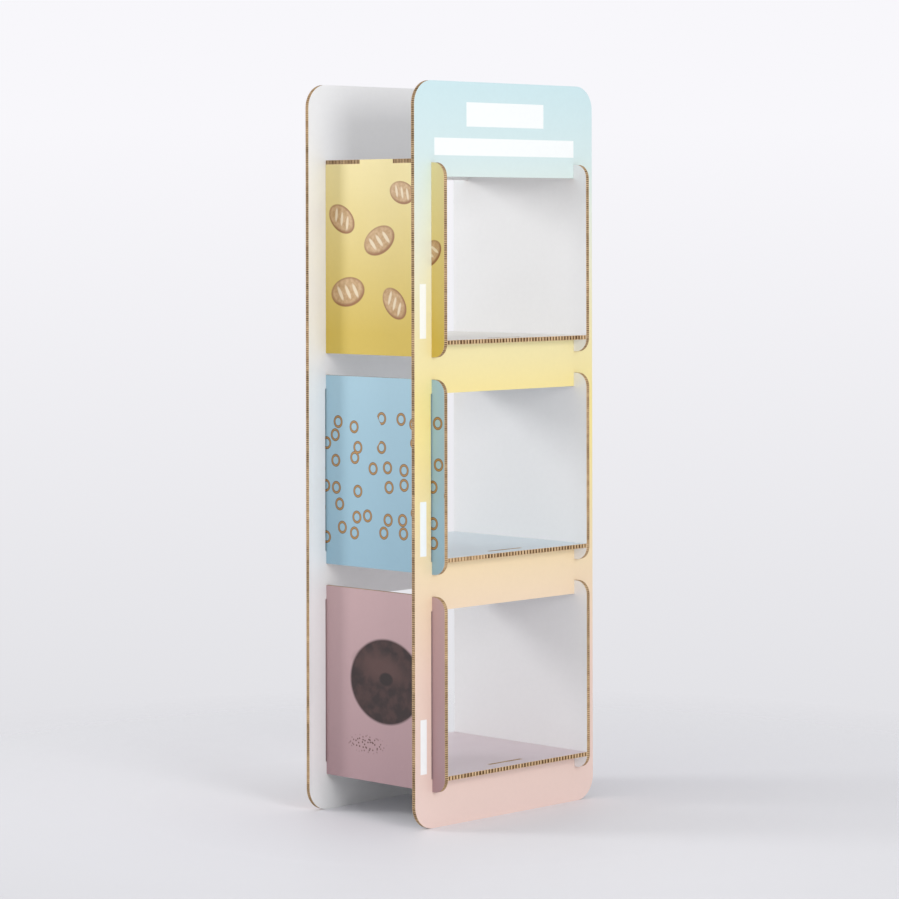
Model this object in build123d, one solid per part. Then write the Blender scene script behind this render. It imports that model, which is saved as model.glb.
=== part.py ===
"""Slot-together display stand: two tall window panels that carry three open-ended boxes.

Every piece is cut from the same rigid paper board and nothing is glued. The side walls of each
box pass through slots in both panels and stand proud of them as rounded ears. The shelves rest
on the bottom edges of the windows and are locked there by tabs. A cover closes the top box.

Frame: millimetres, +Z up, front toward -Y, origin on the floor at the centre of the stand.
"""
import os

from build123d import *

# Overall sizes
stand_height = 1700
panel_width = 600
stand_depth = 440

# Board and fits
board = 10
fit = 0.2

# Up the panels, from the floor: foot margin, then wall, gap, wall, gap, wall, cover, header
foot_margin = 82
box_gap = 51
header_height = 177

# Across the panels and through them
side_margin = 55
ear_reach = 40
panel_corner = 55
ear_corner = 32

# Windows: the wall slots run on above and below each window
slot_rise = 32
slot_drop = 29

# Locking tabs: panel into shelf, and wall into cover
shelf_tab = 110
cover_tab = 110

# The boxes from the floor up, each with the free space beside its walls in the window
side_reliefs = {"lower": 3, "middle": 3, "upper": 0}

# Worked out from the sizes above
box_count = len(side_reliefs)
wall_height = (stand_height - foot_margin - header_height - board - (box_count - 1) * box_gap) / box_count
wall_feet = [foot_margin + level * (wall_height + box_gap) for level in range(box_count)]
box_width = panel_width - 2 * side_margin
inner_width = box_width - 2 * board
panel_face = stand_depth / 2 - ear_reach
panel_back = panel_face - board
window_height = wall_height - slot_rise - slot_drop
cover_seat = wall_feet[-1] + wall_height


def upright(width, height, foot, corner=0):
    """A standing rectangle, centred sideways, with its bottom edge at the height foot."""
    if corner:
        outline = RectangleRounded(width, height, corner, align=(Align.CENTER, Align.MIN))
    else:
        outline = Rectangle(width, height, align=(Align.CENTER, Align.MIN))
    return Pos(0, foot) * outline


def window(foot, side_relief):
    """The H-shaped opening for one box: the window, its wall slots and the shelf's tab."""
    sill = foot + slot_drop
    opening = upright(box_width + 2 * max(side_relief, fit), window_height, sill)
    slot = upright(board + 2 * fit, wall_height + fit, foot)
    slot_place = (box_width - board) / 2
    tab = upright(shelf_tab, board, sill)
    return opening + Pos(slot_place, 0) * slot + Pos(-slot_place, 0) * slot - tab


def panel(inner_face):
    """A window panel whose sheet starts at inner_face, counted toward the front."""
    outline = upright(panel_width, stand_height, 0, panel_corner)
    for foot, side_relief in zip(wall_feet, side_reliefs.values()):
        outline -= window(foot, side_relief)
    return extrude(Plane.XZ.offset(inner_face) * outline, board)


def side_wall(foot, inner_face, has_cover_tab):
    """A side wall with rounded ears, and on the top box a tab that rises through the cover."""
    corner = min(ear_corner, ear_reach)
    outline = upright(stand_depth, wall_height, foot, corner)
    if has_cover_tab:
        outline += upright(cover_tab, board, foot + wall_height)
    return extrude(Plane.YZ.offset(inner_face) * outline, board)


def shelf(foot):
    """A shelf from ear to ear, with a slot over each panel's tab."""
    outline = Rectangle(inner_width - 2 * fit, stand_depth)
    slot = Rectangle(shelf_tab + 2 * fit, board + 2 * fit)
    slot_place = (panel_face + panel_back) / 2
    outline -= Pos(0, slot_place) * slot
    outline -= Pos(0, -slot_place) * slot
    return extrude(Plane.XY.offset(foot + slot_drop) * outline, board)


def cover():
    """The lid of the top box, notched at both sides for the tabs of its walls."""
    outline = Rectangle(box_width, 2 * (panel_back - fit))
    notch = Rectangle(board + fit, cover_tab + 2 * fit)
    notch_place = (box_width - board - fit) / 2
    outline -= Pos(notch_place, 0) * notch
    outline -= Pos(-notch_place, 0) * notch
    return extrude(Plane.XY.offset(cover_seat) * outline, board)


def stand():
    """All pieces of the stand by name."""
    pieces = {"front_panel": panel(panel_back), "rear_panel": panel(-panel_face)}
    for level, foot in zip(side_reliefs, wall_feet):
        topmost = foot == wall_feet[-1]
        pieces[f"{level}_left_side"] = side_wall(foot, -box_width / 2, topmost)
        pieces[f"{level}_right_side"] = side_wall(foot, inner_width / 2, topmost)
        pieces[f"{level}_shelf"] = shelf(foot)
    pieces["top_cover"] = cover()
    return pieces


os.makedirs("parts", exist_ok=True)
for name, piece in stand().items():
    export_step(piece, f"parts/{name}.step")
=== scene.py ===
"""Looks of the slot-together display stand: printed paper boards with an open cell core."""
import math
import random

import bpy
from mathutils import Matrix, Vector
from mathutils.geometry import tessellate_polygon


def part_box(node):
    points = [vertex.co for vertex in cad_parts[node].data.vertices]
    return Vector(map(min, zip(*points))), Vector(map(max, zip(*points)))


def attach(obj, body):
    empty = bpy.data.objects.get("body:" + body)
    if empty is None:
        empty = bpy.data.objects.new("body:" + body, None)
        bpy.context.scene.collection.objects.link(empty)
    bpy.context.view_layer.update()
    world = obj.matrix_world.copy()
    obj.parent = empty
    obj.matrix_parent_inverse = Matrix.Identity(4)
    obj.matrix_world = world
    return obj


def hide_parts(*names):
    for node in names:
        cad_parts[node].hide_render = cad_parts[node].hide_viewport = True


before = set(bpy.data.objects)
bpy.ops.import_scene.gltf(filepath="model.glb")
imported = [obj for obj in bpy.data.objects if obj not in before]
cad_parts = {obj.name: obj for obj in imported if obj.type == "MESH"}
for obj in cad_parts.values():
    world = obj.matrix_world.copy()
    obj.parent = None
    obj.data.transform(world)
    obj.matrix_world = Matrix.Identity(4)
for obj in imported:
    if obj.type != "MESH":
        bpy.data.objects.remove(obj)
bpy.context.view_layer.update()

# Board: its layers, and the pitch and depth of the cells along its cut edges, in metres
BOARD = 0.010
LINER = 0.0006
CORE_INSET = 0.0003
FINE_CELL = 0.005
SHELF_CELL = 0.010
SHALLOW_CELL = 0.0008
DEEP_CELL = 0.0045

# Cells: how many alike in a run, the share of deep runs, and the spread from cell to cell
RUN_OF_CELLS = (6, 26)
DEEP_SHARE = 0.6
WALL_SHARE = 0.2
WALL_SPREAD = (0.7, 1.5)
DEPTH_SPREAD = (0.6, 1.1)
SEED = 11

# Outlines: length of a step round a corner, shortest cut in cells, and what counts as nothing
ARC_STEP = 0.005
SHORTEST_CUT = 0.6
TINY = 1e-6
SLIVER = 1e-14

# Cuts, as in the CAD model
PANEL_CORNER = 0.055
EAR_CORNER = 0.032
FIT = 0.0002
SLOT_RISE = 0.032
TAB_HALF = 0.055
LEVELS = ("lower", "middle", "upper")
SIDE_RELIEFS = {"lower": 0.003, "middle": 0.003, "upper": FIT}

# Material slots of every board mesh: print, plain back, cut edge and open cells, the last painted
# darker as shade
FACE, BACK, EDGE, CELL = range(4)

# The board's white, and the cut core where it stands proud and where it lies deep; the deep cells'
# darker tones are painted shade in the recesses
WHITE = "eeeeee"
CUT_TONES = ("e0c197", "c6a67e")
CELL_SHADE_TONES = ("a58662", "8a6b49")


def srgb(text):
    """A linear colour from a hex code."""
    values = [int(text[i:i + 2], 16) / 255 for i in (0, 2, 4)]
    linear = [v / 12.92 if v <= 0.04045 else ((v + 0.055) / 1.055) ** 2.4 for v in values]
    return (*linear, 1.0)


# ---------------------------------------------------------------- outlines

def arc(centre, radius, start):
    """Points of a quarter circle that turns left from the angle start."""
    steps = max(3, round(radius * math.pi / 2 / ARC_STEP))
    angles = [start + math.pi / 2 * i / steps for i in range(steps + 1)]
    return [(centre[0] + radius * math.cos(a), centre[1] + radius * math.sin(a)) for a in angles]


def rounded(low, high, radius):
    """A rounded rectangle, anticlockwise from its lower right corner."""
    centres = [(high[0] - radius, low[1] + radius), (high[0] - radius, high[1] - radius),
               (low[0] + radius, high[1] - radius), (low[0] + radius, low[1] + radius)]
    points = []
    for quarter, centre in enumerate(centres):
        points += arc(centre, radius, (quarter - 1) * math.pi / 2)
    return points


def mirrored(right_half):
    """A closed outline from its right half, which runs upward."""
    return right_half + [(-u, v) for u, v in reversed(right_half)]


def wall_top(level):
    """Height of a side wall's upper edge, without the tab that the top box's wall has."""
    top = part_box(f"{level}_right_side")[1].z
    return top - BOARD if level == "upper" else top


def window(level):
    """The H-shaped opening for one box, clockwise as a hole."""
    low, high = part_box(f"{level}_right_side")
    foot = low.z
    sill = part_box(f"{level}_shelf")[0].z
    top = wall_top(level)
    head = top - SLOT_RISE
    inner = low.x - FIT
    outer = high.x + FIT
    side = high.x + SIDE_RELIEFS[level]
    shelf_tab = [(TAB_HALF, sill + BOARD), (TAB_HALF, sill)]
    lower_slot = [(inner, sill), (inner, foot), (outer, foot), (outer, sill)]
    upper_slot = [(outer, head), (outer, top + FIT), (inner, top + FIT), (inner, head)]
    right_half = shelf_tab + lower_slot + [(side, sill), (side, head)] + upper_slot
    return list(reversed(mirrored(right_half)))


def side_outline(level):
    """A side wall seen from its face; the top box's wall has a tab on its upper edge."""
    low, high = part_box(f"{level}_right_side")
    top = wall_top(level)
    points = rounded((low.y, low.z), (high.y, top), EAR_CORNER)
    if level != "upper":
        return points
    half = len(points) // 2
    tab = [(TAB_HALF, top), (TAB_HALF, top + BOARD), (-TAB_HALF, top + BOARD), (-TAB_HALF, top)]
    return points[:half] + tab + points[half:]


def shelf_loops(level):
    """A shelf with a slot over each panel's tab."""
    low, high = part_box(f"{level}_shelf")
    panel_low, panel_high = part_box("rear_panel")
    outline = [(high.x, low.y), (high.x, high.y), (low.x, high.y), (low.x, low.y)]
    reach = TAB_HALF + FIT
    near = panel_low.y - FIT
    far = panel_high.y + FIT
    slot = [(reach, near), (-reach, near), (-reach, far), (reach, far)]
    front_slot = [(u, -v) for u, v in reversed(slot)]
    return [outline, clockwise(slot), clockwise(front_slot)]


def cover_outline():
    """The cover, notched at both sides for the tabs of the walls."""
    low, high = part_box("top_cover")
    notch = high.x - BOARD - FIT
    reach = TAB_HALF + FIT
    cut = [(high.x, -reach), (notch, -reach), (notch, reach), (high.x, reach)]
    return mirrored([(high.x, low.y)] + cut + [(high.x, high.y)])


def area(loop):
    """Signed area of an outline."""
    pairs = zip(loop, loop[1:] + loop[:1])
    return sum(a[0] * b[1] - b[0] * a[1] for a, b in pairs) / 2


def clockwise(loop):
    """The outline as a hole."""
    return loop if area(loop) < 0 else list(reversed(loop))


def anticlockwise(loop):
    """The outline as an outer edge."""
    return loop if area(loop) > 0 else list(reversed(loop))


# ---------------------------------------------------------------- boards

class Cells:
    """Draws the open cells along a cut edge, in runs of shallow or of deep ones."""

    def __init__(self, rng):
        self.rng = rng
        self.left = 0
        self.depth = DEEP_CELL

    def draw(self, pitch):
        """Wall, as a share of the pitch, and depth of the next cell."""
        if self.left == 0:
            self.left = self.rng.randint(*RUN_OF_CELLS)
            deeper = pitch == SHELF_CELL or self.rng.random() < DEEP_SHARE
            self.depth = DEEP_CELL if deeper else SHALLOW_CELL
        self.left -= 1
        wall = WALL_SHARE * self.rng.uniform(*WALL_SPREAD)
        return wall, self.depth * self.rng.uniform(*DEPTH_SPREAD)


def core_loop(loop, cell_of, rng):
    """The core's outline with its open cells, and which of its points lie deep."""
    cells = Cells(rng)
    points = []
    deep = []
    for start, end in zip(loop, loop[1:] + loop[:1]):
        a = Vector(start)
        b = Vector(end)
        span = (b - a).length
        if span < TINY:
            continue
        along = (b - a) / span
        inward = Vector((-along.y, along.x))
        pitch = cell_of(along)
        count = max(1, round(span / pitch))
        step = span / count
        points.append(a + inward * CORE_INSET)
        deep.append(False)
        if span < SHORTEST_CUT * pitch:
            continue
        for index in range(count):
            wall, depth = cells.draw(pitch)
            near = (index + wall) * step
            far = (index + 1 - wall) * step
            inset = CORE_INSET + depth
            corners = ((near, CORE_INSET), (near, inset), (far, inset), (far, CORE_INSET))
            points += [a + along * place + inward * reach for place, reach in corners]
            deep += [False, True, True, False]
    return points, deep


def cap_triangles(loops, flat):
    """Anticlockwise triangles that fill the loops, as indices into their points."""
    polygons = [[Vector((p[0], p[1], 0)) for p in points] for points, deep in loops]
    for a, b, c in tessellate_polygon(polygons):
        turn = (flat[b][0] - flat[a][0]) * (flat[c][1] - flat[a][1])
        turn -= (flat[c][0] - flat[a][0]) * (flat[b][1] - flat[a][1])
        if abs(turn) < SLIVER:
            continue
        yield (a, b, c) if turn > 0 else (a, c, b)


def add_layer(mesh, loops, low, high, materials):
    """Adds one closed layer of the board. materials are those of its low cap, high cap and edge."""
    base = len(mesh["verts"])
    flat = [point for points, deep in loops for point in points]
    top = base + len(flat)
    mesh["verts"] += [(p[0], p[1], low) for p in flat] + [(p[0], p[1], high) for p in flat]
    for a, b, c in cap_triangles(loops, flat):
        mesh["faces"] += [(base + c, base + b, base + a), (top + a, top + b, top + c)]
        mesh["slots"] += [materials[0], materials[1]]
    first = 0
    for points, deep in loops:
        size = len(points)
        for i in range(size):
            here = first + i
            after = first + (i + 1) % size
            mesh["faces"].append((base + here, base + after, top + after, top + here))
            # Faces round a deep cell take the open-cell material, painted darker as shade in the recess
            open_cell = deep and (deep[i] or deep[(i + 1) % size])
            mesh["slots"].append(CELL if open_cell else materials[2])
        first += size


def board(name, loops, place, node, cell_of, materials):
    """Builds one board: two paper liners and a core, from outlines in its own plane."""
    rng = random.Random(f"{SEED}{name}")
    loops = [anticlockwise(loops[0])] + [clockwise(hole) for hole in loops[1:]]
    plain = [([Vector(p) for p in loop], None) for loop in loops]
    mesh = {"verts": [], "faces": [], "slots": []}
    add_layer(mesh, plain, 0, LINER, (BACK, CELL, EDGE))
    core = [core_loop(loop, cell_of, rng) for loop in loops]
    add_layer(mesh, core, LINER, BOARD - LINER, (CELL, CELL, EDGE))
    add_layer(mesh, plain, BOARD - LINER, BOARD, (CELL, FACE, EDGE))
    data = bpy.data.meshes.new(name)
    data.from_pydata([place(*v) for v in mesh["verts"]], [], mesh["faces"])
    data.polygons.foreach_set("material_index", mesh["slots"])
    for material in materials:
        data.materials.append(material)
    data.validate()
    data.update()
    piece = bpy.data.objects.new(name, data)
    bpy.context.scene.collection.objects.link(piece)
    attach(piece, "root")
    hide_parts(node)
    return piece


# ---------------------------------------------------------------- materials

class Nodes:
    """Short calls that add shader nodes to one material."""

    def __init__(self, name):
        self.material = bpy.data.materials.new(name)
        self.material.use_nodes = True
        self.tree = self.material.node_tree
        self.shader = self.tree.nodes["Principled BSDF"]
        self.place = self.add("ShaderNodeTexCoord").outputs["Object"]

    def add(self, kind, links=None, **settings):
        """A new node, with its settings and with values or links in its sockets."""
        node = self.tree.nodes.new(kind)
        for key, value in settings.items():
            setattr(node, key, value)
        for key, value in (links or {}).items():
            self.put(node.inputs[key], value)
        return node

    def put(self, socket, value):
        """Links or sets one socket."""
        if isinstance(value, bpy.types.NodeSocket):
            self.tree.links.new(value, socket)
        else:
            socket.default_value = value

    def math(self, operation, a, b=0.0):
        """A sum or comparison of two values."""
        return self.add("ShaderNodeMath", {0: a, 1: b}, operation=operation).outputs[0]

    def mix(self, share, a, b, kind="MIX"):
        """Two colours blended by a share from 0 to 1."""
        node = self.add("ShaderNodeMix", data_type="RGBA", blend_type=kind)
        self.put(node.inputs["Factor"], share)
        self.put(node.inputs["A"], a)
        self.put(node.inputs["B"], b)
        return node.outputs["Result"]

    def noise(self, scale, detail=3.0):
        """A grey pattern with this many grains to the metre."""
        links = {"Vector": self.place, "Scale": scale, "Detail": detail}
        return self.add("ShaderNodeTexNoise", links).outputs[0]

    def spots(self, place, scale, **settings):
        """A Voronoi pattern over a flat place."""
        links = {"Vector": place, "Scale": scale, **settings}
        return self.add("ShaderNodeTexVoronoi", links, voronoi_dimensions="2D")

    def length(self, vector):
        """How long a vector is."""
        return self.add("ShaderNodeVectorMath", {0: vector}, operation="LENGTH").outputs["Value"]

    def axis(self, vector, index):
        """One coordinate of a vector."""
        return self.add("ShaderNodeSeparateXYZ", {0: vector}).outputs[index]

    def remap(self, value, low, high, to_low, to_high):
        """A value moved from one range to another and kept within it."""
        links = {"Value": value, "From Min": low, "From Max": high, "To Min": to_low, "To Max": to_high}
        return self.add("ShaderNodeMapRange", links).outputs[0]

    def flat_place(self, first, second):
        """Two axes of the object's place as a flat vector."""
        links = {0: self.axis(self.place, first), 1: self.axis(self.place, second)}
        return self.add("ShaderNodeCombineXYZ", links).outputs[0]

    def ellipse(self, flat, centre, radii, angle=0.0, soft=0.03):
        """1 inside an ellipse and 0 outside it."""
        mapped = self.add("ShaderNodeMapping", {"Vector": flat}, vector_type="TEXTURE")
        mapped.inputs["Location"].default_value = (*centre, 0)
        mapped.inputs["Rotation"].default_value = (0, 0, angle)
        mapped.inputs["Scale"].default_value = (*radii, 1)
        return self.remap(self.length(mapped.outputs[0]), 1 - soft, 1 + soft, 1.0, 0.0)

    def bar(self, flat, centre, half, soft=0.0006):
        """1 inside an upright rectangle and 0 outside it."""
        shares = []
        for axis in range(2):
            offset = self.math("ABSOLUTE", self.math("SUBTRACT", self.axis(flat, axis), centre[axis]))
            shares.append(self.remap(offset, half[axis] - soft, half[axis] + soft, 1.0, 0.0))
        return self.math("MULTIPLY", *shares)


# Printed paper: grains to the metre, then the range of tone and roughness over the noise
NOISE_SPAN = (0.3, 0.7)
TONE_GRAINS = 90.0
GLOSS_GRAINS = 14.0
CORE_CELLS = 100.0
FIBRE_GRAINS = 900.0
PAPER_TONE = (0.985, 1.0)
PAPER_ROUGHNESS = (0.38, 0.47)
PAPER_SPECULAR = 0.45
CELL_RELIEF = 0.5
FIBRE_RELIEF = 0.3


def paper(nodes, color):
    """Satin paper: faint fibre tone, uneven gloss, and the core's cells showing through a little."""
    tone = nodes.remap(nodes.noise(TONE_GRAINS), *NOISE_SPAN, *PAPER_TONE)
    shade = nodes.add("ShaderNodeCombineColor", {0: tone, 1: tone, 2: tone}).outputs[0]
    nodes.put(nodes.shader.inputs["Base Color"], nodes.mix(1.0, color, shade, "MULTIPLY"))
    gloss = nodes.remap(nodes.noise(GLOSS_GRAINS), *NOISE_SPAN, *PAPER_ROUGHNESS)
    nodes.put(nodes.shader.inputs["Roughness"], gloss)
    nodes.shader.inputs["Specular IOR Level"].default_value = PAPER_SPECULAR
    links = {"Vector": nodes.place, "Scale": CORE_CELLS}
    cells = nodes.add("ShaderNodeTexVoronoi", links).outputs["Distance"]
    cell_height = nodes.math("MULTIPLY", cells, CELL_RELIEF)
    fibre_height = nodes.math("MULTIPLY", nodes.noise(FIBRE_GRAINS), FIBRE_RELIEF)
    height = nodes.math("ADD", cell_height, fibre_height)
    bump = nodes.add("ShaderNodeBump", {"Height": height, "Strength": 0.06, "Distance": 0.0005})
    nodes.put(nodes.shader.inputs["Normal"], bump.outputs[0])
    return nodes.material


def plain_paper(name, code):
    """Paper of one colour."""
    return paper(Nodes(name), srgb(code))


# Colours up the panel, each with its share of the height
PANEL_STOPS = [(0.0, "e9cfc6"), (0.20, "edd3c3"), (0.33, "f1dab6"), (0.42, "f4e0a8"),
               (0.52, "f8e498"), (0.57, "f5e297"), (0.66, "eee4b4"), (0.75, "ebead0"),
               (0.83, "e1eae0"), (0.90, "d5e8e8"), (1.0, "cce6ea")]
WHITE_PRINT = "f8fbfa"

# White bars: distance below the panel's top and half sizes, then those beside the boxes
HEADER_BARS = [(0.075, (0.13, 0.028)), (0.150, (0.235, 0.020))]
MARGIN_BAR_PLACE = (0.027, 0.105)
MARGIN_BAR_HALF = (0.010, 0.062)


def panel_marks():
    """Centres and half sizes of the panel's white bars."""
    low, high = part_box("front_panel")
    marks = [((0.0, high.z - drop), half) for drop, half in HEADER_BARS]
    for level in LEVELS:
        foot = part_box(f"{level}_right_side")[0].z
        centre = (low.x + MARGIN_BAR_PLACE[0], foot + MARGIN_BAR_PLACE[1])
        marks.append((centre, MARGIN_BAR_HALF))
    return marks


def panel_print(name):
    """The panel's colour gradient, with plain white bars where a shop puts its own words."""
    nodes = Nodes(name)
    low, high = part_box("front_panel")
    flat = nodes.flat_place(0, 2)
    height = nodes.axis(nodes.place, 2)
    share = nodes.remap(height, low.z, high.z, 0.0, 1.0)
    ramp = nodes.add("ShaderNodeValToRGB", {0: share})
    stops = ramp.color_ramp.elements
    for index, (place, code) in enumerate(PANEL_STOPS):
        stop = stops[index] if index < 2 else stops.new(place)
        stop.position = place
        stop.color = srgb(code)
    color = ramp.outputs[0]
    for centre, half in panel_marks():
        color = nodes.mix(nodes.bar(flat, centre, half), color, srgb(WHITE_PRINT))
    return paper(nodes, color)


# Rolls of bread: place along and up the wall, half sizes and turn
ROLLS = [((0.115, 0.315), (0.046, 0.030), 0.5), ((-0.010, 0.265), (0.052, 0.032), -0.35),
         ((-0.085, 0.375), (0.040, 0.026), 0.2), ((0.095, 0.145), (0.056, 0.034), -0.15),
         ((-0.060, 0.120), (0.044, 0.030), 0.7), ((-0.175, 0.235), (0.040, 0.026), -0.6)]
CUTS = (-0.45, 0.0, 0.45)


def add_roll(nodes, flat, color, crumb, centre, radii, angle):
    """Draws one roll: a dark crust, a floury top and three cuts across it."""
    color = nodes.mix(nodes.ellipse(flat, centre, radii, angle), color, srgb("98673a"))
    top = (centre[0] + 0.002, centre[1] + 0.002)
    top_radii = (radii[0] * 0.92, radii[1] * 0.86)
    flour = nodes.mix(crumb, srgb("d2b084"), srgb("bc9564"))
    color = nodes.mix(nodes.ellipse(flat, top, top_radii, angle, 0.1), color, flour)
    cut_radii = (radii[0] * 0.09, radii[1] * 0.52)
    for share in CUTS:
        shift = share * radii[0]
        spot = (centre[0] + shift * math.cos(angle), centre[1] + shift * math.sin(angle))
        cut = nodes.ellipse(flat, spot, cut_radii, angle - 0.4, 0.2)
        color = nodes.mix(cut, color, srgb("ecd9b8"))
    return color


def bun_print(name):
    """Yellow print with a few plain rolls of bread, the yellow darker towards the foot as painted
    shade.
    """
    nodes = Nodes(name)
    flat = nodes.flat_place(1, 2)
    low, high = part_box("upper_left_side")
    height = nodes.axis(nodes.place, 2)
    # Painted shade: the yellow turns darker towards the foot of the wall
    fade = nodes.remap(height, low.z + 0.05, high.z, 0.0, 1.0)
    color = nodes.mix(fade, srgb("d8bc52"), srgb("f0e0a0"))
    crumb = nodes.remap(nodes.noise(120.0), 0.35, 0.65, 0.0, 1.0)
    for (u, v), radii, angle in ROLLS:
        color = add_roll(nodes, flat, color, crumb, (u, low.z + v), radii, angle)
    return paper(nodes, color)


# Rings: spacing and radius, the share left out, and the bare height at the foot and the top
RING_SPACING = 0.053
RING_RADIUS = 0.012
RINGS_LEFT_OUT = 0.2
BARE_FOOT = 0.06
BARE_TOP = 0.08


def ring_print(name):
    """Blue print with a scatter of small brown rings, the blue darker towards the foot as painted
    shade.
    """
    nodes = Nodes(name)
    flat = nodes.flat_place(1, 2)
    spots = nodes.spots(flat, 1 / RING_SPACING, Randomness=0.7)
    from_ring = nodes.math("SUBTRACT", spots.outputs["Distance"], RING_RADIUS / RING_SPACING)
    off_ring = nodes.math("ABSOLUTE", from_ring)
    ring = nodes.remap(off_ring, 0.052, 0.066, 1.0, 0.0)
    light = nodes.remap(off_ring, 0.015, 0.035, 1.0, 0.0)
    chance = nodes.add("ShaderNodeSeparateColor", {0: spots.outputs["Color"]}).outputs[0]
    chosen = nodes.math("GREATER_THAN", chance, RINGS_LEFT_OUT)
    middle = nodes.axis(spots.outputs["Position"], 1)
    low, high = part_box("middle_left_side")
    height = nodes.axis(nodes.place, 2)
    band = nodes.math("MULTIPLY", nodes.math("GREATER_THAN", middle, low.z + BARE_FOOT),
                      nodes.math("LESS_THAN", middle, high.z - BARE_TOP))
    shown = nodes.math("MULTIPLY", nodes.math("MULTIPLY", ring, chosen), band)
    brown = nodes.mix(light, srgb("7a5a34"), srgb("bd8f55"))
    # Painted shade: the blue turns darker towards the foot of the wall
    fade = nodes.remap(height, low.z, high.z, 0.0, 1.0)
    shaded_field = nodes.mix(fade, srgb("98bccd"), srgb("aacddc"))
    return paper(nodes, nodes.mix(shown, shaded_field, brown))


# The bun on the rose print: place, half sizes, its gloss and its hollow, then its crumbs
CAKE_PLACE = (-0.030, 0.235)
CAKE_RADII = (0.118, 0.098)
GLOSS_SHIFT = (0.012, 0.030)
GLOSS_RADII = (0.072, 0.030)
HOLLOW_RISE = 0.006
HOLLOW_RADII = (0.022, 0.015)
CRUMBS_PLACE = (0.035, 0.085)
CRUMBS_RADII = (0.055, 0.018)
CRUMB_GRAINS = 110.0


def cake_print(name):
    """Pink print with one large plain chocolate bun above a patch of crumbs, the pink darker towards
    the foot as painted shade.
    """
    nodes = Nodes(name)
    flat = nodes.flat_place(1, 2)
    low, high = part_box("lower_left_side")
    foot = low.z
    height = nodes.axis(nodes.place, 2)
    # Painted shade: the pink turns darker towards the foot of the wall
    fade = nodes.remap(height, foot, high.z, 0.0, 1.0)
    color = nodes.mix(fade, srgb("b09195"), srgb("c6a7a8"))
    u = CAKE_PLACE[0]
    v = foot + CAKE_PLACE[1]
    streaks = nodes.remap(nodes.noise(38.0, 2.0), 0.42, 0.62, 0.0, 1.0)
    dark = nodes.mix(streaks, srgb("2a1817"), srgb("432b28"))
    color = nodes.mix(nodes.ellipse(flat, (u, v), CAKE_RADII), color, dark)
    gloss = nodes.ellipse(flat, (u + GLOSS_SHIFT[0], v + GLOSS_SHIFT[1]), GLOSS_RADII, 0.15, 0.5)
    color = nodes.mix(gloss, color, srgb("553a36"))
    hollow = nodes.ellipse(flat, (u, v + HOLLOW_RISE), HOLLOW_RADII, 0.0, 0.15)
    color = nodes.mix(hollow, color, srgb("241412"))
    crumbs = nodes.spots(flat, CRUMB_GRAINS).outputs["Distance"]
    specks = nodes.remap(crumbs, 0.20, 0.26, 1.0, 0.0)
    patch = nodes.ellipse(flat, (CRUMBS_PLACE[0], foot + CRUMBS_PLACE[1]), CRUMBS_RADII, 0.0, 0.3)
    color = nodes.mix(nodes.math("MULTIPLY", specks, patch), color, srgb("5a3c38"))
    return paper(nodes, color)


# Raw paper: grains to the metre and its range of roughness
RAW_TONE_GRAINS = 60.0
RAW_FIBRE_GRAINS = 1500.0
RAW_ROUGHNESS = (0.82, 0.95)


def kraft(name, light, dark):
    """Raw brown paper, streaked along its fibres."""
    nodes = Nodes(name)
    tone = nodes.remap(nodes.noise(RAW_TONE_GRAINS, 5.0), *NOISE_SPAN, 0.0, 1.0)
    nodes.put(nodes.shader.inputs["Base Color"], nodes.mix(tone, srgb(light), srgb(dark)))
    nodes.put(nodes.shader.inputs["Roughness"], nodes.remap(tone, 0.0, 1.0, *RAW_ROUGHNESS))
    links = {"Height": nodes.noise(RAW_FIBRE_GRAINS), "Strength": 0.25, "Distance": 0.0003}
    bump = nodes.add("ShaderNodeBump", links)
    nodes.put(nodes.shader.inputs["Normal"], bump.outputs[0])
    return nodes.material


# ---------------------------------------------------------------- the stand

def upright_cell(along):
    """Cell pitch of an upright board."""
    return FINE_CELL


def shelf_cell(along):
    """Cell pitch of a lying board: wide cells along its front and rear edges."""
    return SHELF_CELL if abs(along.x) > 0.5 else FINE_CELL


def add_panels(raw, white):
    """The front and rear panels, with their prints facing outward."""
    low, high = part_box("front_panel")
    loops = [rounded((low.x, low.z), (high.x, high.z), PANEL_CORNER)]
    loops += [window(level) for level in LEVELS]
    materials = (panel_print("panel_gradient"), white, *raw)
    face_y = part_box("rear_panel")[1].y
    board("front_panel_board", loops, lambda u, v, w: (u, -face_y + BOARD - w, v), "front_panel",
          upright_cell, materials)
    board("rear_panel_board", loops, lambda u, v, w: (u, face_y - BOARD + w, v), "rear_panel",
          upright_cell, materials)


def add_box(level, side_print, top, raw, white):
    """One box of the stand: two side walls, printed outside, and the shelf between them."""
    face_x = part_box(f"{level}_right_side")[1].x
    outline = [side_outline(level)]
    materials = (side_print, white, *raw)
    board(f"{level}_left_side_board", outline, lambda u, v, w: (-face_x + BOARD - w, u, v),
          f"{level}_left_side", upright_cell, materials)
    board(f"{level}_right_side_board", outline, lambda u, v, w: (face_x - BOARD + w, u, v),
          f"{level}_right_side", upright_cell, materials)
    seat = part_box(f"{level}_shelf")[0].z
    board(f"{level}_shelf_board", shelf_loops(level), lambda u, v, w: (u, v, seat + w),
          f"{level}_shelf", shelf_cell, (top, white, *raw))


def add_cover(raw, white):
    """The roof of the top box."""
    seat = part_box("top_cover")[0].z
    board("top_cover_board", [cover_outline()], lambda u, v, w: (u, v, seat + w), "top_cover",
          shelf_cell, (white, white, *raw))


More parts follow.
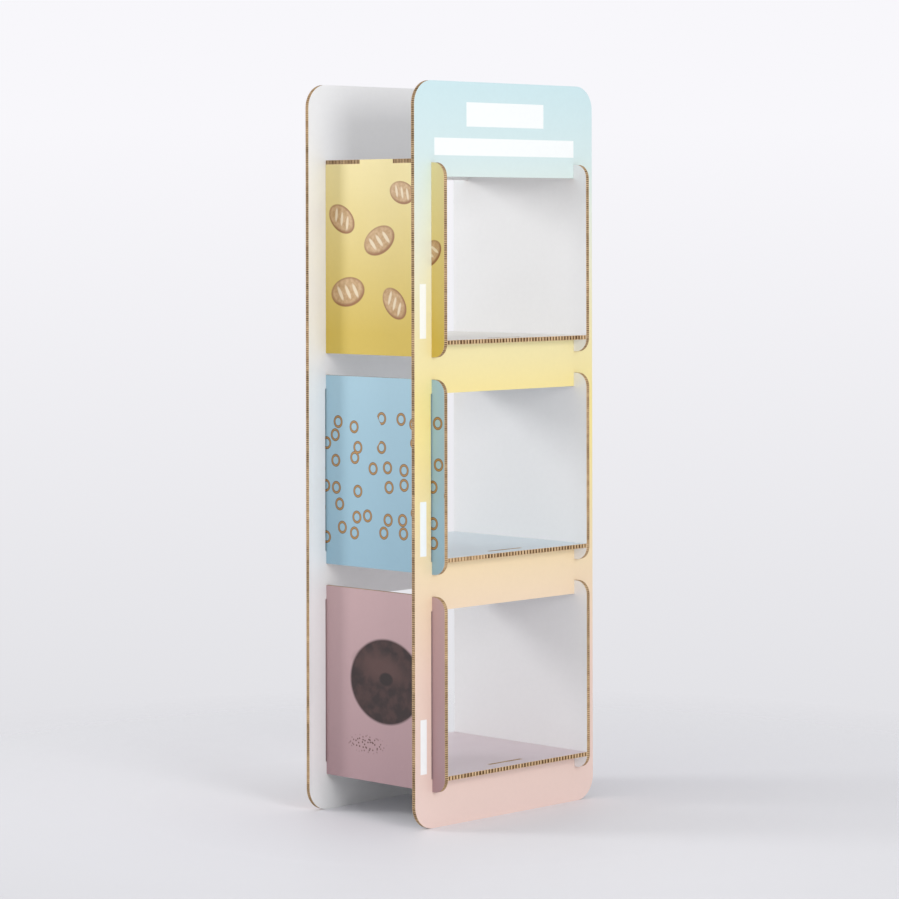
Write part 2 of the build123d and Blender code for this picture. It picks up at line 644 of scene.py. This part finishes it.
def build_stand():
    """All boards with their prints."""
    white = plain_paper("white_paper", WHITE)
    # The open cells take darker kraft tones: painted shade in the recesses
    raw = (kraft("cut_core", *CUT_TONES), kraft("shaded_open_cells", *CELL_SHADE_TONES))
    rose_top = plain_paper("rose_paper", "d6c8cd")
    blue_top = plain_paper("pale_blue_paper", "d8e3e9")
    cream_top = plain_paper("cream_paper", "efece6")
    add_panels(raw, white)
    add_box("lower", cake_print("rose_print_and_shade"), rose_top, raw, white)
    add_box("middle", ring_print("blue_print_and_shade"), blue_top, raw, white)
    add_box("upper", bun_print("yellow_print_and_shade"), cream_top, raw, white)
    add_cover(raw, white)


# ---------------------------------------------------------------- studio

FLOOR_RADIUS = 3.0
FLOOR_SIDES = 96
FLOOR_COLOR = "ebebef"
FADE_START = 0.75
FADE_END = 1.9


def add_floor():
    """A pale floor that keeps the shadow near the stand and fades into the background."""
    bpy.ops.mesh.primitive_circle_add(vertices=FLOOR_SIDES, radius=FLOOR_RADIUS, fill_type="NGON")
    floor = bpy.context.object
    floor.name = "floor"
    nodes = Nodes("floor_paint")
    nodes.shader.inputs["Base Color"].default_value = srgb(FLOOR_COLOR)
    nodes.shader.inputs["Roughness"].default_value = 0.6
    fade = nodes.remap(nodes.length(nodes.place), FADE_START, FADE_END, 0.0, 1.0)
    seen = nodes.add("ShaderNodeLightPath").outputs["Is Camera Ray"]
    clear = nodes.add("ShaderNodeBsdfTransparent").outputs[0]
    share = nodes.math("MULTIPLY", fade, seen)
    blend = nodes.add("ShaderNodeMixShader", {0: share, 1: nodes.shader.outputs[0], 2: clear})
    output = next(n for n in nodes.tree.nodes if n.type == "OUTPUT_MATERIAL")
    nodes.put(output.inputs["Surface"], blend.outputs[0])
    floor.data.materials.append(nodes.material)


# The background seen by the camera: its colours, and the heights of gaze between them
BACKGROUND_LOW = "dcdce0"
BACKGROUND_HIGH = "f8f7fb"
GAZE_LOW = -0.20
GAZE_HIGH = 0.03
WORLD_LIGHT = 0.66
WORLD_TINT = (1.0, 1.0, 1.02, 1.0)


def background_color(tree):
    """A pale gradient by the height of the line of sight."""
    coordinate = tree.nodes.new("ShaderNodeTexCoord")
    parts = tree.nodes.new("ShaderNodeSeparateXYZ")
    shift = tree.nodes.new("ShaderNodeMapRange")
    ramp = tree.nodes.new("ShaderNodeValToRGB")
    tree.links.new(coordinate.outputs["Generated"], parts.inputs[0])
    tree.links.new(parts.outputs[2], shift.inputs["Value"])
    shift.inputs["From Min"].default_value = GAZE_LOW
    shift.inputs["From Max"].default_value = GAZE_HIGH
    tree.links.new(shift.outputs[0], ramp.inputs[0])
    ramp.color_ramp.elements[0].color = srgb(BACKGROUND_LOW)
    ramp.color_ramp.elements[1].color = srgb(BACKGROUND_HIGH)
    return ramp.outputs[0]


def add_world():
    """Even soft light, and a pale background for the camera and for glossy reflections."""
    world = bpy.data.worlds.new("studio")
    bpy.context.scene.world = world
    world.use_nodes = True
    tree = world.node_tree
    light = tree.nodes["Background"]
    light.inputs[0].default_value = WORLD_TINT
    light.inputs[1].default_value = WORLD_LIGHT
    shown = tree.nodes.new("ShaderNodeBackground")
    tree.links.new(background_color(tree), shown.inputs[0])
    path = tree.nodes.new("ShaderNodeLightPath")
    seen = tree.nodes.new("ShaderNodeMath")
    seen.operation = "MAXIMUM"
    tree.links.new(path.outputs["Is Camera Ray"], seen.inputs[0])
    tree.links.new(path.outputs["Is Glossy Ray"], seen.inputs[1])
    mix = tree.nodes.new("ShaderNodeMixShader")
    tree.links.new(seen.outputs[0], mix.inputs[0])
    tree.links.new(light.outputs[0], mix.inputs[1])
    tree.links.new(shown.outputs[0], mix.inputs[2])
    tree.links.new(mix.outputs[0], tree.nodes["World Output"].inputs[0])


# Soft lamps: place, size and power. The key stands behind on the left, the fill in front
KEY = ((-3.0, 3.2, 2.3), 1.2, 62)
FRONT_FILL = ((-1.3, -4.6, 2.0), 1.6, 84)
LAMP_TARGET = (0, 0, 0.9)


def add_lamp(name, place, size, power):
    """A square soft lamp aimed at the middle of the stand."""
    lamp = bpy.data.lights.new(name, "AREA")
    lamp.shape = "SQUARE"
    lamp.size = size
    lamp.energy = power
    holder = bpy.data.objects.new(name, lamp)
    holder.location = place
    holder.rotation_euler = (Vector(LAMP_TARGET) - Vector(place)).to_track_quat("-Z", "Y").to_euler()
    bpy.context.scene.collection.objects.link(holder)


SENSOR = 36.0
LENS = 127.9
SHIFT_UP = -0.2495
CAMERA_PLACE = (-5.3945, -5.2953, 1.3702)
CAMERA_TURN = (90, 0.104, -45.515)


def add_camera():
    """A long lens held level at chest height, with the frame shifted down to take in the foot."""
    camera = bpy.data.cameras.new("camera")
    camera.sensor_width = SENSOR
    camera.lens = LENS
    camera.shift_y = SHIFT_UP
    holder = bpy.data.objects.new("camera", camera)
    holder.location = CAMERA_PLACE
    holder.rotation_euler = [math.radians(angle) for angle in CAMERA_TURN]
    bpy.context.scene.collection.objects.link(holder)
    bpy.context.scene.camera = holder


add_camera()
build_stand()
add_floor()
add_world()
add_lamp("key", *KEY)
add_lamp("front_fill", *FRONT_FILL)
bpy.context.scene.view_settings.view_transform = "Standard"
